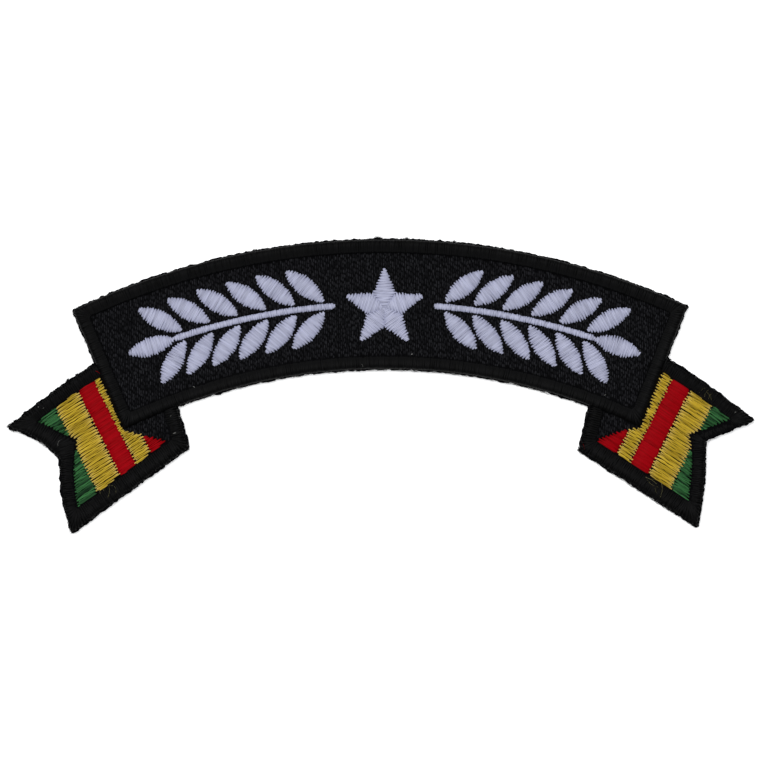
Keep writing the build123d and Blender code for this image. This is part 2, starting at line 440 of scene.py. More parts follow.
def planted(tree, points, instance, seed, salt, **settings):
    """A shape on every point, made real, and each carries a random number of its own."""
    inputs = {"Points": points, "Instance": instance, **settings}
    laid = new(tree, "GeometryNodeInstanceOnPoints", inputs)
    laid = store(tree, laid, "strand", chance(tree, 0, 1, seed, salt), domain="INSTANCE")
    return new(tree, "GeometryNodeRealizeInstances", {"Geometry": laid})


def with_run(tree, shape, length):
    """Strands that carry the distance gone along them."""
    return store(tree, shape, "run", calc(tree, "MULTIPLY", attribute(tree, "along"), length))


def new_tree(name, inputs):
    """A geometry node tree with named inputs, listed by their kind, and those inputs by name."""
    tree = bpy.data.node_groups.new(name, "GeometryNodeTree")
    tree.interface.new_socket("Geometry", in_out="OUTPUT", socket_type="NodeSocketGeometry")
    for kind, labels in inputs.items():
        for label in labels:
            tree.interface.new_socket(label, in_out="INPUT", socket_type=f"NodeSocket{kind}")
    given = {socket.name: socket for socket in tree.nodes.new("NodeGroupInput").outputs}
    return tree, given


def end_tree(tree, shape):
    """Links the finished geometry to the tree's output."""
    tree.links.new(shape, tree.nodes.new("NodeGroupOutput").inputs[0])
    return tree


def strand_tree():
    """One laid strand: unit length along X, arched up and dipping into the cloth at both ends.

    Lean moves its crest towards its left end, and Pinch is how thick it stays at both ends.
    """
    tree, given = new_tree("Laid strand", {
        "Float": ["Width", "Height", "Loft", "Crown", "Lean", "Pinch"],
        "Int": ["Bends", "Sides"],
    })
    path = straight(tree, (-1, 0, 0), (1, 0, 0), given["Bends"])
    turn = calc(tree, "MULTIPLY", coordinates(tree)[0], math.pi / 2)
    level = calc(tree, "MAXIMUM", calc(tree, "COSINE", turn), 0)
    leaning = calc(tree, "MULTIPLY", calc(tree, "MULTIPLY", level, level), given["Lean"])
    ahead = calc(tree, "SUBTRACT", calc(tree, "MULTIPLY", calc(tree, "SINE", turn), 0.5), leaning)
    lifted = calc(tree, "MULTIPLY", calc(tree, "POWER", level, given["Crown"]), given["Loft"])
    past_crest = calc(tree, "ADD", calc(tree, "ADD", attribute(tree, "along"), given["Lean"]), -0.5)
    from_crest = calc(tree, "ABSOLUTE", calc(tree, "MULTIPLY", past_crest, 2))
    # Share towards each end, where the thread material paints light or shade over the thread's colour
    path = store(tree, path, "ending", calc(tree, "POWER", from_crest, painted_end_power))
    path = store(tree, path, "fullness", calc(tree, "POWER", level, strand_taper))
    path = shifted(tree, path, Position=vector(tree, X=ahead, Z=lifted))
    path = new(tree, "GeometryNodeSetCurveNormal", {"Curve": path}, mode="Z_UP")
    swell = calc(tree, "SUBTRACT", 1, given["Pinch"])
    girth = calc(tree, "MULTIPLY_ADD", attribute(tree, "fullness"), swell, given["Pinch"])
    size = vector(tree, X=given["Width"], Y=given["Height"], Z=1)
    return end_tree(tree, tube(tree, path, given["Sides"], girth, size))


def satin_tree(strand_group):
    """Zigzag satin stitches between the left and right ends that a guide line carries."""
    tree, given = new_tree("Satin stitches", {
        "Geometry": ["Geometry"],
        "Float": ["Stitch pitch", "Thread width", "Thread height", "Loft", "Crown", "Lean", "Pinch",
                  "Zigzag", "Reach", "Tuck", "Ragged", "Sway", "Wander", "Underlay"],
        "Int": ["Bends", "Sides", "Seed"],
        "Object": ["Padding"],
        "Material": ["Thread", "Ground"],
    })
    line = new(tree, "GeometryNodeMeshToCurve", {"Mesh": given["Geometry"]})
    line = new(tree, "GeometryNodeResampleCurve", {"Curve": line, "Length": given["Stitch pitch"]},
               mode="LENGTH")

    # Each leg of the zigzag comes near the next one's needle hole.
    index = new(tree, "GeometryNodeInputIndex")
    odd = calc(tree, "MODULO", index, 2)
    following = add(tree, "GeometryNodeOffsetPointInCurve", {"Point Index": index, "Offset": 1})

    def either(which, low, high):
        return new(tree, "GeometryNodeSwitch", [which, low, high], input_type="INT")

    def hole(name, at):
        inputs = {"Value": attribute(tree, name, "FLOAT_VECTOR"), "Index": at}
        return new(tree, "GeometryNodeFieldAtIndex", inputs, data_type="FLOAT_VECTOR", domain="POINT")

    def stitch_end(name, onward):
        return between(tree, hole(name, index), hole(name, onward), given["Zigzag"])

    ahead = either(out(following, "Is Valid Offset"), index, out(following, "Point Index"))
    left = stitch_end("left_end", either(odd, index, ahead))
    right = stitch_end("right_end", either(odd, ahead, index))
    heading = vectors(tree, "NORMALIZE", vectors(tree, "SUBTRACT", right, left))
    sideways = vectors(tree, "CROSS_PRODUCT", heading, (0, 0, 1))
    longest_tuck = calc(tree, "MULTIPLY", vectors(tree, "DISTANCE", left, right), most_tuck_share)
    tuck = calc(tree, "MINIMUM", given["Tuck"], longest_tuck)

    def amount(salt, size):
        return calc(tree, "MULTIPLY", chance(tree, -1, 1, given["Seed"], salt), size)

    def moved(end, onward, tucked, salt):
        beyond = calc(tree, "ADD", given["Reach"], amount(salt, given["Ragged"]))
        beyond = calc(tree, "SUBTRACT", beyond, calc(tree, "MULTIPLY", tucked, tuck))
        end = vectors(tree, "ADD", end, scaled(tree, onward, beyond))
        return vectors(tree, "ADD", end, scaled(tree, sideways, amount(salt + 2, given["Sway"])))

    left = moved(left, scaled(tree, heading, -1), odd, 1)
    right = moved(right, heading, calc(tree, "SUBTRACT", 1, odd), 2)
    line = store(tree, line, "stitch_length", vectors(tree, "DISTANCE", left, right))
    line = store(tree, line, "heading", vectors(tree, "SUBTRACT", right, left), "FLOAT_VECTOR")
    line = shifted(tree, line, Position=between(tree, left, right, 0.5))

    # A short stitch stands less high than a long one.
    length = attribute(tree, "stitch_length")
    room = calc(tree, "DIVIDE", calc(tree, "MULTIPLY", length, short_stitch_rise), given["Loft"])
    uneven = chance(tree, *stitch_heights, given["Seed"], 5)
    lift = calc(tree, "MULTIPLY", calc(tree, "MINIMUM", room, 1), uneven)
    turn = new(tree, "FunctionNodeAlignRotationToVector",
               {"Vector": attribute(tree, "heading", "FLOAT_VECTOR")}, axis="X", pivot_axis="Z")
    shared = {name: given[name] for name in ("Loft", "Crown", "Lean", "Pinch", "Bends", "Sides")}
    sizes = {"Width": given["Thread width"], "Height": given["Thread height"], **shared}
    thread = new(tree, "GeometryNodeGroup", sizes, node_tree=strand_group)
    laid = planted(tree, line, thread, given["Seed"], 6, Rotation=turn,
                   Scale=vector(tree, X=length, Y=1, Z=lift))
    laid = with_run(tree, laid, length)

    # Each strand wanders by itself, so that narrow gaps open and close between them.
    place = scaled(tree, position(tree), 1 / wander_wave)
    own = calc(tree, "MULTIPLY", attribute(tree, "strand"), wander_spread)
    drift = add(tree, "ShaderNodeTexNoise", {"Vector": place, "W": own, "Scale": 1, "Detail": 0},
                noise_dimensions="4D")
    drift = vectors(tree, "SUBTRACT", out(drift, "Color"), (0.5, 0.5, 0.5))
    laid = shifted(tree, laid, Offset=scaled(tree, drift, given["Wander"]))

    # The padding under the stitches is the piece's own solid, pressed down.
    padding = geometry_of(tree, given["Padding"])
    padding = new(tree, "GeometryNodeMergeByDistance", {"Geometry": padding, "Distance": tolerance})
    x, y, z = coordinates(tree)
    pressed = calc(tree, "MULTIPLY", calc(tree, "SUBTRACT", z, cloth_top), given["Underlay"])
    spot = vector(tree, X=x, Y=y, Z=calc(tree, "ADD", pressed, cloth_top))
    padding = store(tree, shifted(tree, padding, Position=spot), "padding", True, "BOOLEAN", "FACE")

    both = tree.nodes.new("GeometryNodeJoinGeometry")
    for shape in (padding, laid):
        tree.links.new(shape, both.inputs[0])
    whole = new(tree, "GeometryNodeRealizeInstances", {"Geometry": out(both)})
    whole = new(tree, "GeometryNodeSetMaterial", {"Geometry": whole, "Material": given["Thread"]})
    whole = new(tree, "GeometryNodeSetMaterial", {
        "Geometry": whole, "Selection": attribute(tree, "padding", "BOOLEAN"),
        "Material": given["Ground"],
    })
    return end_tree(tree, whole)


def weave_tree(strand_group):
    """Floats of the twill weave on each bare stretch of a field, in diagonal ribs."""
    tree, given = new_tree("Twill weave", {
        "Geometry": ["Geometry"],
        "Float": ["Column pitch", "Float period", "Float length", "Float width", "Float rise",
                  "Slope", "Jitter", "Size X", "Size Y"],
        "Int": ["Seed"],
        "Object": ["Stitched"],
        "Material": ["Yarn"],
    })
    seed = given["Seed"]
    pitch, period = given["Column pitch"], given["Float period"]
    columns = calc(tree, "CEIL", calc(tree, "DIVIDE", given["Size X"], pitch))
    rows = calc(tree, "CEIL", calc(tree, "DIVIDE", given["Size Y"], period))
    grid = new(tree, "GeometryNodeMeshGrid", {
        "Size X": calc(tree, "MULTIPLY", columns, pitch),
        "Size Y": calc(tree, "MULTIPLY", rows, period),
        "Vertices X": calc(tree, "ADD", columns, 1),
        "Vertices Y": calc(tree, "ADD", rows, 1),
    })
    column = calc(tree, "ROUND", calc(tree, "DIVIDE", coordinates(tree)[0], pitch))
    fall = calc(tree, "MULTIPLY", pitch, calc(tree, "TANGENT", given["Slope"]))
    stagger = calc(tree, "FLOORED_MODULO", calc(tree, "MULTIPLY", column, fall), period)
    aside = calc(tree, "MULTIPLY", chance(tree, -1, 1, seed), given["Jitter"])
    onward = chance(tree, -float_stray, float_stray, seed, 1)
    onward = calc(tree, "SUBTRACT", calc(tree, "MULTIPLY", onward, given["Jitter"]), stagger)
    grid = shifted(tree, grid, Offset=vector(tree, X=aside, Y=onward, Z=cloth_top))

    def meets(shape, ahead):
        start = vectors(tree, "ADD", position(tree), (0, ahead, ray_height))
        inputs = {"Target Geometry": shape, "Source Position": start, "Ray Direction": (0, 0, -1),
                  "Ray Length": ray_length}
        return out(add(tree, "GeometryNodeRaycast", inputs), "Is Hit")

    def both(one, other, operation):
        return new(tree, "FunctionNodeBooleanMath", [one, other], operation=operation)

    ends = [meets(given["Geometry"], ahead) for ahead in (-edge_clearance, edge_clearance)]
    covered = both(meets(geometry_of(tree, given["Stitched"]), 0), both(*ends, "NAND"), "OR")
    spots = new(tree, "GeometryNodeDeleteGeometry", {"Geometry": grid, "Selection": covered},
                domain="POINT")
    yarn = new(tree, "GeometryNodeGroup", {
        "Width": given["Float width"], "Height": given["Float rise"], "Loft": given["Float rise"],
        "Crown": 0.7, "Pinch": 0.5, "Bends": 3, "Sides": 4,
    }, node_tree=strand_group)
    length = calc(tree, "MULTIPLY", given["Float length"], chance(tree, *float_lengths, seed, 2))
    size = vector(tree, X=length, Y=chance(tree, *float_widths, seed, 5),
                  Z=chance(tree, *float_heights, seed, 3))
    laid = planted(tree, spots, yarn, seed, 4, Rotation=(0, 0, math.pi / 2), Scale=size)
    laid = with_run(tree, laid, given["Float length"])
    inputs = {"Geometry": laid, "Material": given["Yarn"]}
    return end_tree(tree, new(tree, "GeometryNodeSetMaterial", inputs))


def fibre_tree():
    """Loose tapered fibres, one from each guide point, with the aim, bow and width it carries."""
    tree, given = new_tree("Loose fibres", {
        "Geometry": ["Geometry"],
        "Float": ["Taper", "Crimp"],
        "Int": ["Bends", "Sides", "Seed"],
        "Material": ["Fibre"],
    })
    roots = store(tree, given["Geometry"], "root", position(tree), "FLOAT_VECTOR")
    line = straight(tree, (0, 0, 0), (1, 0, 0), given["Bends"])
    laid = planted(tree, roots, line, given["Seed"], 0)
    along = attribute(tree, "along")
    aim = attribute(tree, "aim", "FLOAT_VECTOR")
    arch = calc(tree, "SINE", calc(tree, "MULTIPLY", along, math.pi))
    bow = scaled(tree, attribute(tree, "bow", "FLOAT_VECTOR"), arch)
    crimp = chance(tree, (-1, -1, 0), (1, 1, 0.5), given["Seed"], kind="FLOAT_VECTOR")
    crimp = scaled(tree, crimp, calc(tree, "MULTIPLY", given["Crimp"], along))
    spot = vectors(tree, "ADD", attribute(tree, "root", "FLOAT_VECTOR"), scaled(tree, aim, along))
    spot = vectors(tree, "ADD", vectors(tree, "ADD", spot, bow), crimp)
    laid = shifted(tree, laid, Position=spot)
    thinned = calc(tree, "SUBTRACT", 1, calc(tree, "MULTIPLY", along, given["Taper"]))
    girth = calc(tree, "MULTIPLY", attribute(tree, "width"), thinned)
    made = with_run(tree, tube(tree, laid, given["Sides"], girth), vectors(tree, "LENGTH", aim))
    inputs = {"Geometry": made, "Material": given["Fibre"]}
    return end_tree(tree, new(tree, "GeometryNodeSetMaterial", inputs))


def placed(name, data):
    """Object in the scene that holds a mesh, a light or a camera."""
    made = bpy.data.objects.new(name, data)
    bpy.context.scene.collection.objects.link(made)
    return made


def grown(guide, tree, inputs):
    """Plain mesh that a tree makes from a guide object, which is then removed."""
    modifier = guide.modifiers.new(tree.name, "NODES")
    modifier.node_group = tree
    for socket in tree.interface.items_tree:
        if socket.in_out == "INPUT" and socket.name in inputs:
            modifier[socket.identifier] = inputs[socket.name]
    bpy.context.view_layer.update()
    evaluated = guide.evaluated_get(bpy.context.evaluated_depsgraph_get())
    mesh = bpy.data.meshes.new_from_object(evaluated)
    guide.modifiers.remove(modifier)
    bpy.data.objects.remove(guide)
    return mesh


# Shapes taken from the frame


def outlines(node):
    """Outlines of a CAD node's underside as closed lists of points, the longest first."""
    mesh = nodes[node].data
    low = min(vertex.co.z for vertex in mesh.vertices)
    edges = set()
    for face in mesh.polygons:
        spots = [mesh.vertices[i].co for i in face.vertices]
        if max(spot.z for spot in spots) - low > tolerance:
            continue
        flat = [(round(spot.x, place_digits), round(spot.y, place_digits)) for spot in spots]
        for start, end in zip(flat, flat[1:] + flat[:1]):
            if (end, start) in edges:
                edges.remove((end, start))
            else:
                edges.add((start, end))
    following = dict(sorted(edges))
    loops = []
    while following:
        first, spot = following.popitem()
        loop = [first]
        while spot != first:
            loop.append(spot)
            spot = following.pop(spot)
        loops.append(np.array([*loop, first]))
    return sorted(loops, key=lambda loop: -run_of(loop)[-1])


def run_of(line):
    """Distance gone along a line at each of its points."""
    steps = np.linalg.norm(np.diff(line, axis=0), axis=1)
    return np.concatenate([[0], np.cumsum(steps)])


def evenly(line, step):
    """Points at even steps along a line, its ends kept."""
    gone = run_of(line)
    at = np.linspace(0, gone[-1], max(2, round(gone[-1] / step) + 1))
    return np.stack([np.interp(at, gone, line[:, k]) for k in range(line.shape[1])], axis=1)


def turned_left(way):
    """A flat arrow, turned a quarter to its left."""
    return np.array([-way[1], way[0]])


def ladder(left, right):
    """Column of stitches over two rails that run side by side, the next stitch always the shorter."""
    rungs = [(0, 0)]
    i, j = 0, 0
    while i < len(left) - 1 or j < len(right) - 1:
        onward_left = np.linalg.norm(left[i + 1] - right[j]) if i < len(left) - 1 else math.inf
        onward_right = np.linalg.norm(left[i] - right[j + 1]) if j < len(right) - 1 else math.inf
        if onward_left <= onward_right:
            i += 1
        else:
            j += 1
        rungs.append((i, j))
    rungs = np.array(rungs)
    left, right = left[rungs[:, 0]], right[rungs[:, 1]]
    return (left + right) / 2, left, right


def loop_column(outer, inner):
    """Column of stitches between two closed outlines."""
    outer = evenly(outer, rail_step)
    inner = evenly(inner, rail_step)[::-1]
    nearest = np.argmin(np.linalg.norm(inner - outer[0], axis=1))
    return ladder(outer, np.concatenate([inner[nearest:-1], inner[: nearest + 1]]))


def open_column(outline, seat):
    """Column of stitches along a band that ends where its outline meets a seat."""
    ends = evenly(seat, rail_step)
    starts, stops = outline[:-1], outline[1:]
    on_seat = np.array([
        max(np.linalg.norm(ends - spot, axis=1).min() for spot in (start, stop)) < seat_gap
        for start, stop in zip(starts, stops)
    ])
    first = int(np.flatnonzero(on_seat)[0])
    order = np.roll(np.arange(len(starts)), -first)
    rails = []
    for place, before in zip(order, np.roll(order, 1)):
        if on_seat[place]:
            continue
        if on_seat[before]:
            rails.append([starts[place]])
        rails[-1].append(stops[place])
    rails.sort(key=lambda rail: -run_of(np.array(rail))[-1])
    outer, inner = (evenly(np.array(rail), rail_step) for rail in rails[:2])
    return ladder(outer, inner[::-1])


def crossing_column(outline, angle, seats=None):
    """Column of stitches that cross an outline side by side, each at one angle from X.

    A stitch that ends at one of the seats is kept back from it.
    """
    along = np.array([math.cos(angle), math.sin(angle)])
    onward = np.array([math.sin(angle), -math.cos(angle)])
    starts, stops = outline[:-1], outline[1:]
    from_row, to_row = starts @ onward, stops @ onward
    from_reach, to_reach = starts @ along, stops @ along
    rows = []
    for row in np.arange(from_row.min() + scan_step / 2, from_row.max(), scan_step):
        crossed = (from_row <= row) != (to_row <= row)
        share = (row - from_row[crossed]) / (to_row - from_row)[crossed]
        reach = from_reach[crossed] + share * (to_reach - from_reach)[crossed]
        if reach.max() - reach.min() > shortest_stitch:
            rows.append((row, reach.min(), reach.max()))
    row, near, far = np.array(rows).T.copy()[:, :, None]
    base = row * onward
    if seats is not None:
        for reach, way in ((near, 1), (far, -1)):
            away = [np.linalg.norm(seats - spot, axis=1).min() for spot in base + along * reach]
            reach[np.array(away) < seat_gap] += way * seat_retreat
    return base + along * near.mean(), base + along * near, base + along * far


def own_angle(outline):
    """Angle from X of an outline's longest direction."""
    spots = evenly(outline, rail_step)
    direction = np.linalg.svd(spots - spots.mean(axis=0))[2][0]
    return math.atan2(direction[1], direction[0])


def star_columns(outline):
    """One column of stitches for each arm of the star, out from its middle."""
    middle = evenly(outline, rail_step)[:-1].mean(axis=0)
    spots = outline[:-1] - middle
    bearing = np.arctan2(spots[:, 1], spots[:, 0])
    columns = []
    for arm in range(star_points):
        heading = math.pi / 2 + arm * 2 * math.pi / star_points
        off = (bearing - heading + math.pi) % (2 * math.pi) - math.pi
        inside_arm = np.abs(off) <= math.pi / star_points + arm_slack
        order = np.argsort(off[inside_arm])
        inner = [[-star_overlap * math.cos(heading), -star_overlap * math.sin(heading)]]
        kite = np.concatenate([inner, spots[inside_arm][order], inner]) + middle
        columns.append(crossing_column(kite, heading + math.pi / 2))
    return columns


def raised(spots, height):
    """Flat points at one height."""
    return np.column_stack([spots, np.full(len(spots), height)])


def carry(mesh, name, arrows):
    """Gives each point of a mesh an arrow of its own, under a name."""
    made = mesh.attributes.new(name, "FLOAT_VECTOR", "POINT")
    made.data.foreach_set("vector", np.array(arrows, np.float32).ravel())


def guide_object(columns):
    """Guide lines, whose points carry the left and right end of the stitch that crosses there."""
    counts = np.cumsum([0, *(len(spots) for spots, left, right in columns)])
    edges = [(i, i + 1) for low, high in zip(counts, counts[1:]) for i in range(low, high - 1)]
    spots, left, right = (raised(np.concatenate(rows), cloth_top) for rows in zip(*columns))
    mesh = bpy.data.meshes.new("guide")
    mesh.from_pydata(spots.tolist(), edges, [])
    carry(mesh, "left_end", left)
    carry(mesh, "right_end", right)
    return placed("guide", mesh)


# Materials


def new_material(name):
    """Empty node material, with its tree."""
    made = bpy.data.materials.new(name)
    made.use_nodes = True
    made.node_tree.nodes.clear()
    return made, made.node_tree


def surface(tree, **inputs):
    """Ends a material in one principled surface."""
    inputs = {name.replace("_", " "): value for name, value in inputs.items()}
    add(tree, "ShaderNodeOutputMaterial", [new(tree, "ShaderNodeBsdfPrincipled", inputs)])


def carried(tree, name):
    """A named attribute, read by a material."""
    return out(add(tree, "ShaderNodeAttribute", attribute_name=name), "Fac")


def noise(tree, place, scale, detail):
    """Grey clouds at one scale."""
    return new(tree, "ShaderNodeTexNoise", {"Vector": place, "Scale": scale, "Detail": detail})


def bumps(tree, relief, strength):
    """Normal of a surface with a fine relief."""
    inputs = {"Strength": strength, "Distance": relief_depth, "Height": relief}
    return new(tree, "ShaderNodeBump", inputs)


def blended(tree, factor, low, high):
    """Colour between two colours."""
    return new(tree, "ShaderNodeMix", {"Factor": factor, "A": low, "B": high}, data_type="RGBA")


def thread_material(name, shade, tint, painted_end_tone, roughness, gloss, contrast):
    """Twisted plies of fine filaments, each strand with its own tint, and painted light or painted
    shade at its ends.
    """
    made, tree = new_material(f"{name} thread")
    strand_tint = carried(tree, "strand")
    run = carried(tree, "run")
    around = carried(tree, "around")
    turns = calc(tree, "ADD", calc(tree, "DIVIDE", run, ply_pitch),
                 calc(tree, "MULTIPLY", around, ply_count))
    plies = calc(tree, "SINE", calc(tree, "MULTIPLY", turns, 2 * math.pi))
    spot = vector(tree, X=calc(tree, "DIVIDE", run, filament_length),
                  Y=calc(tree, "MULTIPLY", around, filaments_around),
                  Z=calc(tree, "MULTIPLY", strand_tint, filament_spread))
    filaments = noise(tree, spot, scale=1, detail=3)
    relief = calc(tree, "ADD", calc(tree, "MULTIPLY", plies, ply_relief), filaments)
    evened = (1 - filament_share - contrast) / 2
    lighter = calc(tree, "ADD", calc(tree, "MULTIPLY", filaments, filament_share),
                   calc(tree, "MULTIPLY_ADD", strand_tint, contrast, evened))
    middle = blended(tree, lighter, (*shade, 1), (*tint, 1))
    # Towards the strand ends the colour blends to painted light or painted shade, not the thread's own
    # colour
    surface(tree, Base_Color=blended(tree, carried(tree, "ending"), middle, (*painted_end_tone, 1)),
            Roughness=roughness, Specular_IOR_Level=gloss, Normal=bumps(tree, relief, strength=0.6))
    return made


def cloth_material(name):
    """Close black twill, fine ribs with a little dust and wear in them."""
    made, tree = new_material(name)
    place = out(add(tree, "ShaderNodeTexCoord"), "Object")
    cloud = noise(tree, place, cloud_scale, detail=4)
    grain = noise(tree, place, grain_scale, detail=2)
    turned = new(tree, "ShaderNodeMapping", {"Vector": place, "Rotation": (0, 0, rib_turn)})
    inputs = {"Vector": turned, "Scale": rib_scale, "Distortion": 1.5}
    relief = calc(tree, "ADD", new(tree, "ShaderNodeTexWave", inputs), grain)
    surface(tree, Base_Color=blended(tree, cloud, (*cloth_shade, 1), (*cloth_tint, 1)),
            Roughness=0.85, Specular_IOR_Level=0.03, Normal=bumps(tree, relief, strength=0.5))
    return made


def table_material(name):
    """Matt white, lit a little from within."""
    made, tree = new_material(name)
    white = (*table_white, 1)
    surface(tree, Base_Color=white, Roughness=0.9, Specular_IOR_Level=0.0, Emission_Color=white,
            Emission_Strength=table_glow)
    return made


# The cloth


def inside(spots, outline):
    """Which points lie inside a closed outline."""
    starts, stops = outline[:-1], outline[1:]
    x, y = spots[:, :1], spots[:, 1:]
    crossed = (starts[:, 1] <= y) != (stops[:, 1] <= y)
    rise_over = np.where(crossed, (stops - starts)[:, 1], 1)
    at = starts[:, 0] + (y - starts[:, 1]) / rise_over * (stops - starts)[:, 0]
    return (crossed & (at > x)).sum(axis=1) % 2 == 1


def filled(ring, loose):
    """Triangles over a ring of points and the loose points inside it, all facing up."""
    spots = [Vector(spot) / mm for spot in (*ring, *loose)]
    only_inside = 1
    made = geometry.delaunay_2d_cdt(spots, [], [list(range(len(ring)))], only_inside, fill_gap)
    back = [ids[0] for ids in made[3]]
    faces = []
    for face in made[2]:
        a, b, c = (spots[back[i]] for i in face)
        turned = (b - a).cross(c - a) > 0
        faces.append([back[i] for i in (face if turned else reversed(face))])
    return faces


def smoothed_noise(chances, count, reach):
    """Even noise round a closed ring, each value blended with its neighbours."""
    raw = chances.normal(size=count)
    kernel = np.hanning(2 * reach + 1)
    kernel /= np.sqrt((kernel ** 2).sum())
    return np.convolve(np.concatenate([raw[-reach:], raw, raw[:reach]]), kernel, "valid")


def cut_edge(outline):
    """Points at even steps round an outline, and the way outwards at each of them."""
    ring = evenly(outline, edge_step)[:-1]
    ahead = np.roll(ring, -1, axis=0)
    if (ring[:, 0] * ahead[:, 1] - ahead[:, 0] * ring[:, 1]).sum() < 0:
        ring = ring[::-1]
    run = np.roll(ring, -1, axis=0) - np.roll(ring, 1, axis=0)
    return ring, np.column_stack([run[:, 1], -run[:, 0]]) / np.linalg.norm(run, axis=1)[:, None]


def cloth_mesh(outline):
    """The cut sheet of twill, with its melted and slightly ragged edge."""
    chances = np.random.default_rng(11)
    ring, outward = cut_edge(outline)
    count = len(ring)
    ragged = edge_grown + edge_wobble * smoothed_noise(chances, count, reach=3)
    vertices, faces, rings = [], [], []
    for height, inset in edge_profile:
        grain = edge_grain * smoothed_noise(chances, count, reach=1)
        rough = np.maximum(ragged + grain, -deepest_nick)
        rings.append(ring + outward * (rough - inset)[:, None])
        vertices.extend(raised(rings[-1], height * cloth_top).tolist())
    top = len(edge_profile) - 1
    for low in range(0, top * count, count):
        high = low + count
        for i in range(count):
            j = (i + 1) % count
            faces.append((low + i, low + j, high + j, high + i))
    corners = zip(outline.min(axis=0), outline.max(axis=0))
    axes = [np.arange(start, stop, cloth_grid) for start, stop in corners]
    grid = np.stack(np.meshgrid(*axes), axis=-1).reshape(-1, 2)
    grid = grid[inside(grid, outline)]
    away = np.array([np.linalg.norm(ring - spot, axis=1).min() for spot in grid])
    grid = grid[away > cloth_grid / 2]
    for level, height, up in ((0, 0.0, False), (top, cloth_top, True)):
        first = len(vertices)
        vertices.extend(raised(grid, height).tolist())
        for face in filled(rings[level], grid):
            face = [level * count + i if i < count else first + i - count for i in face]
            faces.append(face if up else face[::-1])
    mesh = bpy.data.meshes.new("twill_cloth")
    mesh.from_pydata(vertices, [], faces)
    mesh.shade_smooth()
    return mesh


def settle(mesh):
    """Moves a mesh with the cloth, which doesn't lie quite flat."""
    place = np.zeros(len(mesh.vertices) * 3, np.float32)
    mesh.vertices.foreach_get("co", place)
    x, y, z = place.reshape(-1, 3).T
    wave = 0.5 + 0.5 * np.sin(x / wave_length_x + 1) * np.cos(y / wave_length_y + x / wave_drift)
    out_on_tail = np.clip((np.abs(x) - tail_lift_start) / tail_lift_run, 0, 1)
    z = z + warp_height * wave + tail_lift * out_on_tail ** 2
    mesh.vertices.foreach_set("co", np.stack([x, y, z], axis=1).astype(np.float32).ravel())
    mesh.update()


def entered(name, mesh, slot, *replaced):
    """Enters a mesh as a piece of the patch."""
    piece = placed(name, mesh)
    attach(piece, body)
    if replaced:
        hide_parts(*replaced)
    return piece


def finished(name, mesh, slot, *replaced):
    """Enters a mesh as a piece of the patch, once it is moved with the cloth."""
    settle(mesh)
    return entered(name, mesh, slot, *replaced)


def stitch(node, columns, satin, thread, slot):
    """Adds the satin piece that stands for one CAD node."""
    mesh = grown(guide_object(columns), satin_stitches, {
        **satin, "Seed": seed_step * len(satin_pieces), "Padding": nodes[node],
        "Thread": threads[thread], "Ground": cloth,
    })
    satin_pieces.append(finished(f"{node}_satin", mesh, slot, node))


def joined(names):
    """One mesh of several CAD nodes."""
    vertices, faces = [], []
    for name in names:
        first = len(vertices)
        vertices.extend(vertex.co[:] for vertex in nodes[name].data.vertices)
        faces.extend([first + i for i in face.vertices] for face in nodes[name].data.polygons)
    mesh = bpy.data.meshes.new("joined")
    mesh.from_pydata(vertices, [], faces)
    return mesh


# Loose fibres


def fibres(rows, thread, seed):
    """Mesh of fibres from rows of a root, an aim, a bow and a width."""
    roots, aims, bows, widths = zip(*rows)
    mesh = bpy.data.meshes.new("roots")
    mesh.from_pydata(roots, [], [])
    carry(mesh, "aim", aims)
    carry(mesh, "bow", bows)
    mesh.attributes.new("width", "FLOAT", "POINT").data.foreach_set("value", widths)
    inputs = {**fibre_look, "Seed": seed, "Fibre": threads[thread]}
    return grown(placed("roots", mesh), loose_fibres, inputs)


def spot_at(column, row):
    """Place on the patch of a pixel in the photograph."""
    return np.array([(column - origin_column) * pixel, (origin_row - row) * pixel])


def fuzz_rows(ring, outward):
    """Fine fuzz all round the cut edge, and thicker tufts at the places in tufts."""
    chances = np.random.default_rng(23)
    rows = []

    def sprout(i, length, width, lean):
        along = turned_left(outward[i])
        way = outward[i] + along * chances.normal(0, lean)
        way *= length / np.linalg.norm(way)
        aim = (*way, length * chances.uniform(-0.2, 0.3))
        bow = (*(along * length * chances.uniform(-0.3, 0.3)), 0)
        root = (*(ring[i] - outward[i] * fuzz_root), cloth_top * chances.uniform(0.2, 0.85))
        rows.append((root, aim, bow, width))

    for i in chances.choice(len(ring), fuzz_count):
        length = fuzz_root + chances.uniform(0, fuzz_length)
        sprout(i, length, chances.uniform(0.6, 1) * fuzz_width, fuzz_lean)
    for column, row, height, spread in tufts:
        near = np.argsort(np.linalg.norm(ring - spot_at(column, row), axis=1))
        near = near[: max(3, round(spread * pixel / edge_step))]
        for i in chances.choice(near, round(spread * tuft_density)):
            length = fuzz_root + height * pixel * chances.uniform(0.6, 1.3)
            sprout(i, length, tuft_width, tuft_lean)
    return rows


def backing_rows(ring, outward):
    """Pale fuzz of the backing, lying along the edges that face down the photograph."""
    chances = np.random.default_rng(31)
    facing = np.clip(outward @ backing_side, 0, 1) ** backing_focus
    rows = []
    for i in chances.choice(len(ring), backing_count, p=facing / facing.sum()):
        along = turned_left(outward[i]) * chances.choice([-1, 1])
        length = chances.uniform(0.2, 1) * backing_length
        way = along + outward[i] * chances.uniform(-0.1, 0.35)
        spot = ring[i] + outward[i] * (edge_grown - backing_root)
        root = (*spot, cloth_top * chances.uniform(0.3, 0.7))
        bow = (*(outward[i] * length * chances.uniform(0, 0.15)), 0)
        rows.append((root, (*(way * length), 0), bow, fuzz_width * chances.uniform(0.6, 1.2)))
    return rows


def height_at(spot):
    """Height of whatever lies uppermost at a spot on the patch."""
    start = Vector((*spot, top_ray_height))
    met = [piece.ray_cast(start, Vector((0, 0, -1)))
           for piece in (cloth_piece, weave_piece, *satin_pieces)]
    return max([place.z for hit, place, normal, face in met if hit], default=0)


